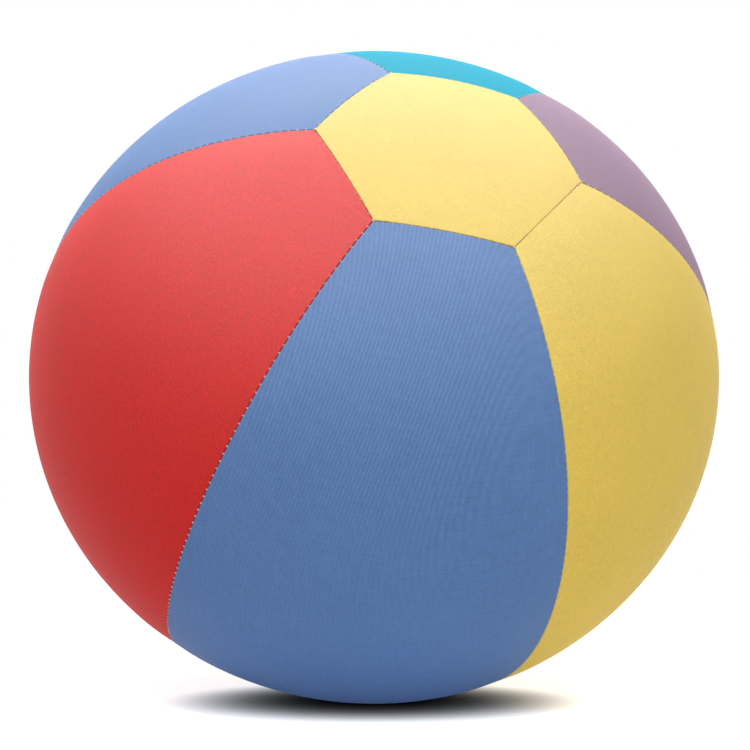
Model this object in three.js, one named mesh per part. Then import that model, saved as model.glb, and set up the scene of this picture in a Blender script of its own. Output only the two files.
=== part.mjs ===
// Balloon ball: a sewn cloth cover of six gores and two hexagonal caps, blown tight by the balloon inside it.
// Millimetres, +Z up. The ball lies on the floor as it would in play, on the front blue gore, with the line
// through its caps leaning. The origin is the middle of the flat patch that touches the floor.
//
// A place on the ball is a direction from its middle and a depth under the outside of the cloth. Directions
// are in the ball's own frame, whose Z axis is the cap line, through the middles of both caps.

import * as THREE from "three";

// The inflated ball
const BALL_WIDTH = 300;
const BALL_HEIGHT = 282.6; // floor to top: it sags under its own weight
const CONTACT_RADIUS = 17; // of the flat patch on the floor

// How it lies, in degrees
const CAP_LINE_TILT = 60.4; // of the line through the caps, from upright
const CAP_LINE_HEADING = -76.9; // of that line's upper end, from +X towards +Y
const TURN_ABOUT_CAP_LINE = -41;

// Cloth cover
const CAP_SIDE = 50.5; // a hexagon's straight side, corner to corner
const CLOTH = 0.45;
const HEM_WIDTH = 7.5; // cloth turned in along every edge
const THREAD = 0.4; // diameter
const THREAD_CLEARANCE = 0.3; // between a thread and the cloth beside or under it
const LAYER_GAP = 0.7; // between two layers of the closure
const SEAT_GAP = 0.4; // between the cover and the balloon
const CONTACT_SEAT_GAP = 1.6; // the same, over the flat patch
const CONTACT_SEAT_REACH = 45; // of that wider gap, from the patch's middle
const CONTACT_SEAT_FADE = 22; // beyond it, down to the plain gap

// Closure in the bottom cap: an outer half, an inner half that reaches under it, and a tongue over the mouth
const INNER_HALF_REACH = 16; // past the mouth, under the outer half
const TONGUE_WIDTH = 64;
const TONGUE_LENGTH = 24;
const TONGUE_STITCH_INSET = 5;
const HALF_STITCH_INSET = 6;
const HALF_STITCH_CLEARANCE = 4; // between a line of stitches and the hems at its ends

// Balloon
const BALLOON_WALL = 0.25;
const NECK_RADIUS = 3.2;
const NECK_LENGTH = 3;
const DIMPLE_RADIUS = 20; // the hollow that the tucked neck presses into the balloon
const DIMPLE_FLOOR_RADIUS = 8;
const KNOT_RADIUS = 3.9;
const KNOT_HEIGHT = 3.4;
const LIP_RADIUS = 4.8;
const LIP_THICKNESS = 1.2;
const KNOT_GAP = 0.4; // over and under the knot

// Facets
const GORE_COLUMNS = 6; // between the two hems, an even number
const GORE_ROWS = 14; // between the two hems, an even number
const CAP_RINGS = 6;
const HALF_COLUMNS = 6;
const CLOSURE_ROWS = 3; // in each stretch of the closure, out from the mouth
const EDGE_PASSES = 6; // to find where a column of a gore meets the hexagon's straight side
const CONTACT_SIDES = 16;
const THREAD_SIDES = 5;
const SEAM_STEPS = 24;
const CAP_SEAM_STEPS = 5; // along a hexagon's side
const STITCH_STEPS = 12;
const RIM_STEPS = 4; // even steps along a hexagon's side, on the balloon
const KNOT_SIDES = 16;
const BEAD_STEPS = 4; // over the knot's round bead
const LIP_STEPS = 2; // over its rolled lip

// Colours
const BLUE = 0x6487bd;
const YELLOW = 0xf0d684;
const PURPLE = 0x9b7fa0;
const TURQUOISE = 0x27a3c4;
const RED = 0xd24640;
const THREAD_COLOUR = 0xe8e2d6;
const LATEX = 0xe9e4da;

// Gores in order about the cap line. The seam before each one wanders sideways, at the waist by its drift.
const GORES = [
  { name: "gore_blue_front", colour: BLUE, drift: 6.2 },
  { name: "gore_yellow", colour: YELLOW, drift: -0.2 },
  { name: "gore_purple", colour: PURPLE, drift: 11 },
  { name: "gore_turquoise", colour: TURQUOISE, drift: 4 },
  { name: "gore_blue_back", colour: BLUE, drift: -4 },
  { name: "gore_red", colour: RED, drift: -8 },
];

// Sizes that follow
const radius = BALL_WIDTH / 2;
const seamTurn = (2 * Math.PI) / GORES.length; // between two seams
const cornerPolar = Math.asin(CAP_SIDE / (2 * radius * Math.sin(seamTurn / 2))); // cap line to a corner
const hemDepth = 2 * CLOTH; // an edge turned in is two layers
const seamGap = THREAD + 2 * THREAD_CLEARANCE;
const threadDepth = hemDepth / 2;
const topStitchDepth = -(THREAD / 2 + THREAD_CLEARANCE); // a line of stitches on the outside of the cloth
const innerHalfDepth = hemDepth + LAYER_GAP;
const balloonDepth = hemDepth + SEAT_GAP;
const closureDepth = innerHalfDepth + hemDepth + SEAT_GAP; // of the balloon, under the closure
const knotTopDepth = innerHalfDepth + CLOTH + KNOT_GAP;
const knotBottomDepth = knotTopDepth + KNOT_HEIGHT + LIP_THICKNESS;
const neckTopDepth = knotBottomDepth + KNOT_GAP;
const dimpleDepth = neckTopDepth + NECK_LENGTH;

// The sagged ball is an ellipsoid whose lower end is cut flat.
const contactShare = Math.sqrt(1 - (CONTACT_RADIUS / radius) ** 2);
const halfHeight = BALL_HEIGHT / (1 + contactShare);
const semiAxes = new THREE.Vector3(radius, radius, halfHeight);
const middle = new THREE.Vector3(0, 0, halfHeight * contactShare);

const degrees = THREE.MathUtils.degToRad;
const turnAbout = (axis, angle) => new THREE.Quaternion().setFromAxisAngle(axis, degrees(angle));
const upright = new THREE.Vector3(0, 0, 1);
const lying = turnAbout(upright, CAP_LINE_HEADING)
  .multiply(turnAbout(new THREE.Vector3(0, 1, 0), CAP_LINE_TILT))
  .multiply(turnAbout(upright, TURN_ABOUT_CAP_LINE));

const TOP = 1;
const BOTTOM = -1;
const DOWN = new THREE.Vector3(0, 0, -1);

// The outward normal of the cloth in a direction from the ball's middle.
function outward(direction) {
  return direction.clone().normalize().applyQuaternion(lying).divide(semiAxes).normalize();
}

// The point in a direction from the ball's middle, at a depth under the outside of the cloth.
function place(direction, depth = 0) {
  const point = direction.clone().normalize().applyQuaternion(lying).multiply(semiAxes).add(middle);
  point.addScaledVector(outward(direction), -depth);
  point.z = Math.max(point.z, depth);
  return point;
}

function polarDirection(polar, azimuth) {
  const reach = Math.sin(polar);
  return new THREE.Vector3(reach * Math.cos(azimuth), reach * Math.sin(azimuth), Math.cos(polar));
}

// The direction of a point on the flat plane that touches a cap's middle: straight lines there are seams.
function planeDirection(x, y, end) {
  return new THREE.Vector3(x, y, end * radius);
}

// Edges of the hexagons on that plane
const cornerReach = radius * Math.tan(cornerPolar);
const edgeReach = cornerReach * Math.cos(seamTurn / 2);

// The polar angle of a hexagon's edge, at a share from 0 to 1 of the way across a gore.
function edgePolar(share) {
  return Math.atan(edgeReach / radius / Math.cos(seamTurn * (share - 0.5)));
}

function seamAzimuth(seam, polar) {
  const along = (polar - cornerPolar) / (Math.PI - 2 * cornerPolar);
  const drift = GORES[seam % GORES.length].drift / radius;
  return seam * seamTurn + drift * 4 * along * (1 - along);
}

// Stations along a hemmed length: both edges, both hem lines, and even steps between the hem lines.
function stations(length, edge, hem, steps) {
  const inside = length - 2 * hem;
  const even = Array.from({ length: steps + 1 }, (_, step) => hem + (inside * step) / steps);
  return [edge, ...even, length - edge];
}

// A point of the grid on a gore, with its edges held back from the seam lines by a gap.
function goreDirection(gore, column, row, gap) {
  let share = 0.5;
  let polar = 0;
  let azimuth = 0;
  for (let pass = 0; pass < EDGE_PASSES; pass += 1) {
    const start = edgePolar(share);
    const rows = stations(radius * (Math.PI - 2 * start), gap, HEM_WIDTH, GORE_ROWS);
    polar = start + rows[row] / radius;
    const left = seamAzimuth(gore, polar);
    const width = seamAzimuth(gore + 1, polar) - left;
    const reach = radius * Math.sin(polar);
    const columns = stations(reach * width, gap, HEM_WIDTH, GORE_COLUMNS);
    azimuth = left + columns[column] / reach;
    share = (azimuth - left) / width;
  }
  return polarDirection(polar, azimuth);
}

// A sheet is a list of directions and a list of triangles on them, each with its layers of cloth.
function grid(rows, columns, directionAt, isHem) {
  const directions = [];
  const cells = [];
  for (let row = 0; row <= rows; row += 1) {
    for (let column = 0; column <= columns; column += 1) directions.push(directionAt(column, row));
  }
  const at = (column, row) => row * (columns + 1) + column;
  for (let row = 0; row < rows; row += 1) {
    for (let column = 0; column < columns; column += 1) {
      const corners = [at(column, row), at(column, row + 1), at(column + 1, row + 1), at(column + 1, row)];
      const layers = isHem(column, row) ? 2 : 1;
      cells.push({ corners: [corners[0], corners[1], corners[2]], layers, column, row });
      cells.push({ corners: [corners[0], corners[2], corners[3]], layers, column, row });
    }
  }
  return { directions, cells, at };
}

// The solid of a sheet: its outside, its inside at one or two layers, and walls wherever the layers change.
function sheetGeometry(sheet, depthAt = () => 0) {
  const thickness = [0, CLOTH, hemDepth];
  const positions = [];
  const corner = (vertex, level) => {
    const direction = sheet.directions[vertex];
    positions.push(...place(direction, depthAt(direction) + thickness[level]));
  };
  const triangle = (...corners) => corners.forEach(([vertex, level]) => corner(vertex, level));
  const sides = new Map();
  for (const { corners, layers } of sheet.cells) {
    const [a, b, c] = corners;
    triangle([a, 0], [b, 0], [c, 0]);
    triangle([c, layers], [b, layers], [a, layers]);
    corners.forEach((from, index) => sides.set(`${from} ${corners[(index + 1) % 3]}`, layers));
  }
  for (const [side, layers] of sides) {
    const [a, b] = side.split(" ").map(Number);
    const beyond = sides.get(`${b} ${a}`) ?? 0;
    if (beyond >= layers) continue;
    triangle([b, beyond], [a, beyond], [a, layers]);
    triangle([b, beyond], [a, layers], [b, layers]);
  }
  return bufferGeometry(positions);
}

function bufferGeometry(positions) {
  const geometry = new THREE.BufferGeometry();
  geometry.setAttribute("position", new THREE.Float32BufferAttribute(positions, 3));
  geometry.computeVertexNormals();
  return geometry;
}

function goreSheet(gore) {
  const columns = GORE_COLUMNS + 2;
  const rows = GORE_ROWS + 2;
  return grid(
    rows,
    columns,
    (column, row) => goreDirection(gore, column, row, seamGap / 2),
    (column, row) => column === 0 || column === columns - 1 || row === 0 || row === rows - 1,
  );
}

// The rim of the flat patch, as directions.
function contactRim() {
  return Array.from({ length: CONTACT_SIDES }, (_, side) => {
    const angle = (2 * Math.PI * side) / CONTACT_SIDES;
    return new THREE.Vector3(CONTACT_RADIUS * Math.cos(angle), CONTACT_RADIUS * Math.sin(angle), -middle.z)
      .divide(semiAxes)
      .applyQuaternion(lying.clone().invert());
  });
}

// Whether the flat patch reaches a cell of a gore's grid.
function touchesContact(sheet, { column, row }) {
  const box = new THREE.Box2();
  for (const [right, below] of [[0, 0], [0, 1], [1, 0], [1, 1]]) {
    const point = place(sheet.directions[sheet.at(column + right, row + below)]);
    if (point.z > middle.z) return false;
    box.expandByPoint(new THREE.Vector2(point.x, point.y));
  }
  return box.distanceToPoint(new THREE.Vector2()) < CONTACT_RADIUS + THREAD_CLEARANCE;
}

// The outline of a set of cells, as vertex numbers in order.
function outlineOf(cells) {
  const sidesOf = ({ corners }) => corners.map((from, index) => [from, corners[(index + 1) % 3]]);
  const sides = cells.flatMap(sidesOf);
  const inner = new Set(sides.map(([from, to]) => `${to} ${from}`));
  const next = new Map(sides.filter(([from, to]) => !inner.has(`${from} ${to}`)));
  const outline = [next.keys().next().value];
  while (next.get(outline.at(-1)) !== outline[0]) outline.push(next.get(outline.at(-1)));
  return outline;
}

// Triangles between an outline and a ring inside it, both in the same sense, by the shorter of two diagonals.
function bridge(outline, ring, pointAt) {
  const outerAt = (step) => outline[step % outline.length];
  const innerAt = (step) => ring[step % ring.length];
  const apart = (outer, inner) => pointAt(outerAt(outer)).distanceTo(pointAt(innerAt(inner)));
  let outer = 0;
  let inner = ring.map((_, index) => index).sort((a, b) => apart(0, a) - apart(0, b))[0];
  const lastOuter = outline.length;
  const lastInner = inner + ring.length;
  const triangles = [];
  while (outer < lastOuter || inner < lastInner) {
    const [from, across] = [outerAt(outer), innerAt(inner)];
    const shorter = outer < lastOuter && apart(outer + 1, inner) < apart(outer, inner + 1);
    const alongOutline = inner === lastInner || shorter;
    if (alongOutline) outer += 1;
    else inner += 1;
    triangles.push([from, alongOutline ? outerAt(outer) : innerAt(inner), across]);
  }
  return triangles;
}

// The gore on the floor has a round flat patch, and the cells that it reaches are remade round its rim.
function addContactPatch(sheet) {
  const outline = outlineOf(sheet.cells.filter((cell) => touchesContact(sheet, cell)));
  const directions = [...sheet.directions, ...contactRim()];
  const rim = Array.from({ length: CONTACT_SIDES }, (_, side) => directions.length - 1 - side);
  const around = bridge(outline, rim, (vertex) => place(directions[vertex]));
  const flat = rim.slice(1, -1).map((from, index) => [rim[0], from, rim[index + 2]]);
  const cells = sheet.cells.filter((cell) => !touchesContact(sheet, cell));
  for (const corners of [...around, ...flat]) cells.push({ corners, layers: 1 });
  return { directions, cells };
}

// A hexagon of rings of triangles. The reach of a ring is to the middle of its sides.
function hexagonSheet(ringReach, rings, end) {
  const directions = [planeDirection(0, 0, end)];
  const cells = [];
  const start = (ring) => (ring === 0 ? 0 : 1 + (GORES.length * ring * (ring - 1)) / 2);
  const at = (ring, side, step) => start(ring) + ((side * ring + step) % (GORES.length * ring || 1));
  for (let ring = 1; ring <= rings; ring += 1) {
    const reach = ringReach(ring) / Math.cos(seamTurn / 2);
    for (let side = 0; side < GORES.length; side += 1) {
      const from = new THREE.Vector2(reach, 0).rotateAround(new THREE.Vector2(), side * seamTurn);
      const to = new THREE.Vector2(reach, 0).rotateAround(new THREE.Vector2(), (side + 1) * seamTurn);
      for (let step = 0; step < ring; step += 1) {
        const point = from.clone().lerp(to, step / ring);
        directions.push(planeDirection(point.x, point.y, end));
        const layers = ring === rings ? 2 : 1;
        const inward = at(ring - 1, side, step);
        const here = at(ring, side, step);
        cells.push({ corners: [here, at(ring, side, step + 1), inward], layers });
        if (step > 0) cells.push({ corners: [at(ring - 1, side, step - 1), here, inward], layers });
      }
    }
  }
  return { directions, cells };
}

function topCapSheet() {
  const ringReach = (ring) => {
    if (ring === CAP_RINGS) return edgeReach - seamGap / 2;
    return ((edgeReach - HEM_WIDTH) * ring) / (CAP_RINGS - 1);
  };
  return hexagonSheet(ringReach, CAP_RINGS, TOP);
}

// Half the width of the hexagon at a distance from the mouth, which joins two of its corners.
function halfWidth(fromMouth) {
  return cornerReach - Math.abs(fromMouth) * Math.tan(seamTurn / 2);
}

// A piece of the bottom cap between two lines along the mouth.
function closureSheet(lines, widthAt, columns, isHemLine) {
  const slant = Math.cos(seamTurn / 2);
  const flip = lines[0] < lines.at(-1) ? 1 : -1;
  return grid(
    lines.length - 1,
    columns + 2,
    (column, row) => {
      const width = 2 * widthAt(lines[row]);
      const along = stations(width, seamGap / 2 / slant, HEM_WIDTH / slant, columns)[column] - width / 2;
      return planeDirection(flip * along, lines[row], BOTTOM);
    },
    (column, row) => column === 0 || column === columns + 1 || isHemLine(row),
  );
}

function evenSteps(from, to, steps) {
  return Array.from({ length: steps + 1 }, (_, step) => from + ((to - from) * step) / steps);
}

function outerHalfSheet() {
  const lines = [
    -seamGap / 2,
    ...evenSteps(-HEM_WIDTH, HEM_WIDTH - edgeReach, CLOSURE_ROWS),
    seamGap / 2 - edgeReach,
  ];
  return closureSheet(lines, halfWidth, HALF_COLUMNS, (row) => row === 0 || row === lines.length - 2);
}

// The inner half lies under the tongue and rises to the outside of the ball past its tip.
const tongueTip = seamGap / 2 + TONGUE_LENGTH;
const riseStart = tongueTip + 2 * LAYER_GAP;

function innerHalfDepthAt(direction) {
  const fromMouth = (direction.y * radius) / Math.abs(direction.z);
  return innerHalfDepth * (1 - THREE.MathUtils.smoothstep(fromMouth, riseStart, edgeReach - HEM_WIDTH));
}

function innerHalfSheet() {
  const lines = [
    -INNER_HALF_REACH,
    HEM_WIDTH - INNER_HALF_REACH,
    ...evenSteps(0, riseStart, CLOSURE_ROWS),
    ...evenSteps(riseStart, edgeReach - HEM_WIDTH, CLOSURE_ROWS).slice(1),
    edgeReach - seamGap / 2,
  ].toReversed();
  return closureSheet(lines, halfWidth, HALF_COLUMNS, (row) => row === 0 || row === lines.length - 2);
}

function tongueSheet() {
  const lines = evenSteps(tongueTip, seamGap / 2, CLOSURE_ROWS);
  const columns = HALF_COLUMNS + 2;
  return grid(
    lines.length - 1,
    columns,
    (column, row) => planeDirection((0.5 - column / columns) * TONGUE_WIDTH, lines[row], BOTTOM),
    () => true,
  );
}

// A line on the ball at one depth. Its steps are even along the line that it is given, so corners stay sharp.
class BallLine extends THREE.Curve {
  constructor(directionAt, depth) {
    super();
    this.directionAt = directionAt;
    this.depth = depth;
  }

  getPoint(share, target = new THREE.Vector3()) {
    return target.copy(place(this.directionAt(share), this.depth));
  }

  getUtoTmapping(share) {
    return share;
  }
}

function threadGeometry(line, steps) {
  const section = new THREE.Shape(
    Array.from({ length: THREAD_SIDES }, (_, side) => {
      const angle = (2 * Math.PI * side) / THREAD_SIDES;
      return new THREE.Vector2(Math.cos(angle), Math.sin(angle)).multiplyScalar(THREAD / 2);
    }),
  );
  return new THREE.ExtrudeGeometry(section, { steps, extrudePath: line, bevelEnabled: false });
}

function goreSeamThread(seam) {
  const trim = (seamGap + THREAD) / radius; // clear of the hexagon's own thread
  const from = cornerPolar + trim;
  const to = Math.PI - cornerPolar - trim;
  const directionAt = (share) => {
    const polar = from + (to - from) * share;
    return polarDirection(polar, seamAzimuth(seam, polar));
  };
  return threadGeometry(new BallLine(directionAt, threadDepth), SEAM_STEPS);
}

function capSeamThread(end) {
  const corners = GORES.map((_, side) => {
    return new THREE.Vector2(cornerReach, 0).rotateAround(new THREE.Vector2(), side * seamTurn);
  });
  const directionAt = (share) => {
    const along = (share % 1) * corners.length;
    const side = Math.min(Math.floor(along), corners.length - 1);
    const point = corners[side].clone().lerp(corners[(side + 1) % corners.length], along - side);
    return planeDirection(point.x, point.y, end);
  };
  const line = new BallLine(directionAt, threadDepth);
  return new THREE.TubeGeometry(line, corners.length * CAP_SEAM_STEPS, THREAD / 2, THREAD_SIDES, true);
}

// A straight line of stitches on the bottom cap, at a distance from the mouth.
function mouthStitch(fromMouth, depth) {
  const reach = halfWidth(fromMouth) - HEM_WIDTH - HALF_STITCH_CLEARANCE;
  const directionAt = (share) => planeDirection(reach * (2 * share - 1), fromMouth, BOTTOM);
  return threadGeometry(new BallLine(directionAt, depth), STITCH_STEPS);
}

// The tongue's stitches run in from one side of its root, round its free edges and back.
function tongueStitch() {
  const reach = TONGUE_WIDTH / 2 - TONGUE_STITCH_INSET;
  const root = seamGap / 2 + TONGUE_STITCH_INSET / 2;
  const tip = tongueTip - TONGUE_STITCH_INSET;
  const route = [
    ...evenSteps(root, tip, CLOSURE_ROWS).map((y) => new THREE.Vector2(-reach, y)),
    ...evenSteps(-reach, reach, STITCH_STEPS).slice(1).map((x) => new THREE.Vector2(x, tip)),
    ...evenSteps(tip, root, CLOSURE_ROWS).slice(1).map((y) => new THREE.Vector2(reach, y)),
  ];
  const legs = route.length - 1;
  const directionAt = (share) => {
    const leg = Math.min(Math.floor(share * legs), legs - 1);
    const point = route[leg].clone().lerp(route[leg + 1], share * legs - leg);
    return planeDirection(point.x, point.y, BOTTOM);
  };
  return threadGeometry(new BallLine(directionAt, topStitchDepth), legs);
}

// The balloon lies close under the cloth, and deeper under the closure and over the flat patch.
function balloonDepthAt(direction) {
  const fromBottom = direction.angleTo(new THREE.Vector3(0, 0, BOTTOM));
  const fade = THREE.MathUtils.smoothstep(fromBottom, cornerPolar, cornerPolar + (2 * HEM_WIDTH) / radius);
  const fromContact = direction.angleTo(DOWN.clone().applyQuaternion(lying.clone().invert())) * radius;
  const pastPatch = (fromContact - CONTACT_SEAT_REACH) / CONTACT_SEAT_FADE;
  const overContact = 1 - THREE.MathUtils.smoothstep(pastPatch, 0, 1);
  return closureDepth + (balloonDepth - closureDepth) * fade + (CONTACT_SEAT_GAP - SEAT_GAP) * overContact;
}

function balloonGeometry() {
  const positions = [];
  const walls = [0, BALLOON_WALL];
  // Both sides of the wall, from the same three directions
  const skin = (...directions) => {
    for (const wall of walls) {
      const points = directions.map((direction) => place(direction, balloonDepthAt(direction) + wall));
      if (wall) points.reverse();
      points.forEach((point) => positions.push(...point));
    }
  };
  const rimColumns = evenSteps(0, GORE_COLUMNS + 2, RIM_STEPS);
  for (let gore = 0; gore < GORES.length; gore += 1) {
    for (let row = 0; row < GORE_ROWS + 2; row += 2) {
      rimColumns.slice(0, -1).forEach((column, step) => {
        const next = rimColumns[step + 1];
        const [a, b] = [goreDirection(gore, column, row, 0), goreDirection(gore, column, row + 2, 0)];
        const [c, d] = [goreDirection(gore, next, row + 2, 0), goreDirection(gore, next, row, 0)];
        skin(a, b, c);
        skin(a, c, d);
      });
    }
  }
  const sideAt = (gore, row) => rimColumns.slice(0, -1).map((column) => goreDirection(gore, column, row, 0));
  const rimAt = (row) => GORES.flatMap((_, gore) => sideAt(gore, row));
  balloonTop(rimAt(0), skin);
  balloonBottom(rimAt(GORE_ROWS + 2), positions);
  return bufferGeometry(positions);
}

// Under the top cap: a ring inside the hexagon, and a fan to the middle.
function balloonTop(rim, skin) {
  const pole = new THREE.Vector3(0, 0, TOP);
  const inner = rim.map((direction) => direction.clone().lerp(pole, 0.5).normalize());
  rim.forEach((direction, index) => {
    const next = (index + 1) % rim.length;
    skin(direction, rim[next], inner[next]);
    skin(direction, inner[next], inner[index]);
    skin(inner[index], inner[next], pole);
  });
}

// Under the bottom cap: down into the dimple and up the neck, whose end is open under the knot.
function balloonBottom(rim, positions) {
  const count = rim.length;
  const ring = (reach, depth) => {
    return Array.from({ length: count }, (_, index) => {
      const angle = (2 * Math.PI * index) / count;
      return place(planeDirection(reach * Math.cos(angle), reach * Math.sin(angle), BOTTOM), depth);
    });
  };
  const slopeReach = (DIMPLE_RADIUS + DIMPLE_FLOOR_RADIUS) / 2;
  const slopeDepth = (closureDepth + dimpleDepth) / 2;
  const side = (wall) => [
    rim.map((direction) => place(direction, balloonDepthAt(direction) + wall)),
    ring((DIMPLE_RADIUS + edgeReach) / 2, closureDepth + wall),
    ring(DIMPLE_RADIUS, closureDepth + wall),
    ring(slopeReach, slopeDepth + wall),
    ring(DIMPLE_FLOOR_RADIUS, dimpleDepth + wall),
    ring(NECK_RADIUS - wall, dimpleDepth + wall),
    ring(NECK_RADIUS - wall, neckTopDepth),
  ];
  const rings = [...side(0), ...side(BALLOON_WALL).toReversed()];
  for (let level = 0; level < rings.length - 1; level += 1) {
    for (let index = 0; index < count; index += 1) {
      const next = (index + 1) % count;
      const [upper, lower] = [rings[level], rings[level + 1]];
      const corners = [upper[index], lower[index], lower[next], upper[index], lower[next], upper[next]];
      corners.forEach((point) => positions.push(...point));
    }
  }
}

// The knot: a round bead of twisted neck under the rolled lip. Its Y axis points out of the ball.
function knotGeometry() {
  const waist = NECK_RADIUS / 2;
  const bulge = (inner, outer, from, height, steps) => {
    return evenSteps(-Math.PI / 2, Math.PI / 2, steps).map((angle) => {
      const reach = inner + (outer - inner) * Math.cos(angle);
      return new THREE.Vector2(reach, from + (height * (1 + Math.sin(angle))) / 2);
    });
  };
  const profile = [
    new THREE.Vector2(0, 0),
    ...bulge(waist, KNOT_RADIUS, 0, KNOT_HEIGHT, BEAD_STEPS),
    ...bulge(LIP_RADIUS - LIP_THICKNESS / 2, LIP_RADIUS, KNOT_HEIGHT, LIP_THICKNESS, LIP_STEPS),
    new THREE.Vector2(0, KNOT_HEIGHT + LIP_THICKNESS),
  ];
  return new THREE.LatheGeometry(profile, KNOT_SIDES);
}

function clothMaterial(colour) {
  return new THREE.MeshStandardMaterial({ color: colour, roughness: 0.9, metalness: 0 });
}

function threadMaterial() {
  return new THREE.MeshStandardMaterial({ color: THREAD_COLOUR, roughness: 0.6, metalness: 0 });
}

function latexMaterial() {
  return new THREE.MeshStandardMaterial({ color: LATEX, roughness: 0.35, metalness: 0 });
}

function add(group, name, geometry, material) {
  const mesh = new THREE.Mesh(geometry, material);
  mesh.name = name;
  group.add(mesh);
  return mesh;
}

function buildCover() {
  const cover = new THREE.Group();
  add(cover, "top_cap", sheetGeometry(topCapSheet()), clothMaterial(YELLOW));
  GORES.forEach(({ name, colour }, gore) => {
    const plain = goreSheet(gore);
    const lies = plain.cells.some((cell) => touchesContact(plain, cell));
    add(cover, name, sheetGeometry(lies ? addContactPatch(plain) : plain), clothMaterial(colour));
  });
  add(cover, "bottom_cap_outer_half", sheetGeometry(outerHalfSheet()), clothMaterial(YELLOW));
  const innerHalf = sheetGeometry(innerHalfSheet(), innerHalfDepthAt);
  add(cover, "bottom_cap_inner_half", innerHalf, clothMaterial(YELLOW));
  return cover;
}

function buildThreads() {
  const threads = new THREE.Group();
  GORES.forEach((_, seam) => {
    add(threads, `gore_seam_thread_${seam + 1}`, goreSeamThread(seam), threadMaterial());
  });
  add(threads, "top_cap_seam_thread", capSeamThread(TOP), threadMaterial());
  add(threads, "bottom_cap_seam_thread", capSeamThread(BOTTOM), threadMaterial());
  add(threads, "outer_half_hem_thread", mouthStitch(-HALF_STITCH_INSET, topStitchDepth), threadMaterial());
  const innerStitch = mouthStitch(HALF_STITCH_INSET - INNER_HALF_REACH, innerHalfDepth + topStitchDepth);
  add(threads, "inner_half_hem_thread", innerStitch, threadMaterial());
  return threads;
}

function buildTongue() {
  const tongue = new THREE.Group();
  add(tongue, "closure_tongue", sheetGeometry(tongueSheet()), clothMaterial(YELLOW));
  add(tongue, "tongue_hem_thread", tongueStitch(), threadMaterial());
  return tongue;
}

function buildBalloon() {
  const balloon = new THREE.Group();
  add(balloon, "balloon", balloonGeometry(), latexMaterial());
  const knot = add(balloon, "balloon_knot", knotGeometry(), latexMaterial());
  const bottom = new THREE.Vector3(0, 0, BOTTOM);
  knot.position.copy(place(bottom, knotBottomDepth));
  knot.quaternion.setFromUnitVectors(new THREE.Vector3(0, 1, 0), outward(bottom));
  return balloon;
}

const balloonBall = new THREE.Group();
balloonBall.add(buildCover(), buildThreads(), buildTongue(), buildBalloon());

export default balloonBall;
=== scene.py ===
# Balloon ball: a sewn cloth cover of six gores and two hexagonal caps, blown tight by the balloon in it.
# Metres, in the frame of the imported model: +Z up, origin at the middle of the flat patch on the floor.
#
# Each piece is first made on an upright ball, whose Z axis is the line through its caps. Then it is laid:
# turned to where the ball rests, sagged and flattened on the floor, with its depth under the cloth kept.

import math

import bmesh
import bpy
import numpy as np
from bpy.props import FloatProperty, FloatVectorProperty, IntProperty, PointerProperty
from mathutils import Matrix, Vector


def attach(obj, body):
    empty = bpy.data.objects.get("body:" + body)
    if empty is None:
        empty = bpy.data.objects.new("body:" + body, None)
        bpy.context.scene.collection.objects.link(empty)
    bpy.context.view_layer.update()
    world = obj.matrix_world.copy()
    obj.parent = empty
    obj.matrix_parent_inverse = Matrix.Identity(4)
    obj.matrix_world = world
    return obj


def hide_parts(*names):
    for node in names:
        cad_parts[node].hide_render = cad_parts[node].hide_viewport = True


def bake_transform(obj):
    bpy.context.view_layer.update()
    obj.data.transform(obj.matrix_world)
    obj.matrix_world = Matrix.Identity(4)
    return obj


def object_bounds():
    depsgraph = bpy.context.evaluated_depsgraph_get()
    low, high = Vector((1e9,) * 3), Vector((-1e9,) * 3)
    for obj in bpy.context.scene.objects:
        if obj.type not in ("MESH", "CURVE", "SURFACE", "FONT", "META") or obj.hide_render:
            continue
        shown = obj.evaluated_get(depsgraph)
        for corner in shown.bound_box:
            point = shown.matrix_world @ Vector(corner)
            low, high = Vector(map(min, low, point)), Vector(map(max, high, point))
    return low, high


bl_info = {
    "name": "Balloon ball",
    "version": (1, 0, 0),
    "blender": (4, 5, 0),
    "location": "3D View > Sidebar > Balloon ball",
    "description": "Makes a cloth ball with a balloon inside it, its stitches and its stage",
    "category": "Add Mesh",
}

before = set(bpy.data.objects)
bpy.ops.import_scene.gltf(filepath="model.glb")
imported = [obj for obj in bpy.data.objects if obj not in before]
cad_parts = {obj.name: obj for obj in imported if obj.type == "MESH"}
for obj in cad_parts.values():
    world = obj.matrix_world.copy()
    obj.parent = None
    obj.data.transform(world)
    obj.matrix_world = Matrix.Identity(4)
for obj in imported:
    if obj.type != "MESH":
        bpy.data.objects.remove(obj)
CAD_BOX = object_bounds()

MM = 0.001
TOP = 1
BOTTOM = -1

# Gores in order about the line through the caps: CAD node, cloth, and how far the seam before it wanders
# sideways at the waist
GORES = (
    ("gore_blue_front", "cloth_blue", 6.2 * MM),
    ("gore_yellow", "cloth_yellow", -0.2 * MM),
    ("gore_purple", "cloth_purple", 11 * MM),
    ("gore_turquoise", "cloth_turquoise", 4 * MM),
    ("gore_blue_back", "cloth_blue", -4 * MM),
    ("gore_red", "cloth_red", -8 * MM),
)
SEAM_TURN = math.tau / len(GORES)
SETTLING_ROUNDS = 6

# Cloth beside a folded edge: how far in its lines lie, and the share of an opening that each takes
APRON = np.array((1.2, 1.9, 3, 4.6, 7)) * MM
APRON_OPENS = (0.5, 0.2, 0, 0, 0)

# Cloths: shares of the finish's gloss, of its contrast of ribs (the weave's pattern, with painted shade in
# the gaps between ribs) and of its fine grain
CLOTHS = {
    "blue": (1, 1, 0.4),
    "yellow": (1.4, 0.4, 0.3),
    "purple": (0.45, 0.5, 0.4),
    "turquoise": (0.16, 0.4, 0.4),
    "red": (1.2, 0.9, 0.8),
}
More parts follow.
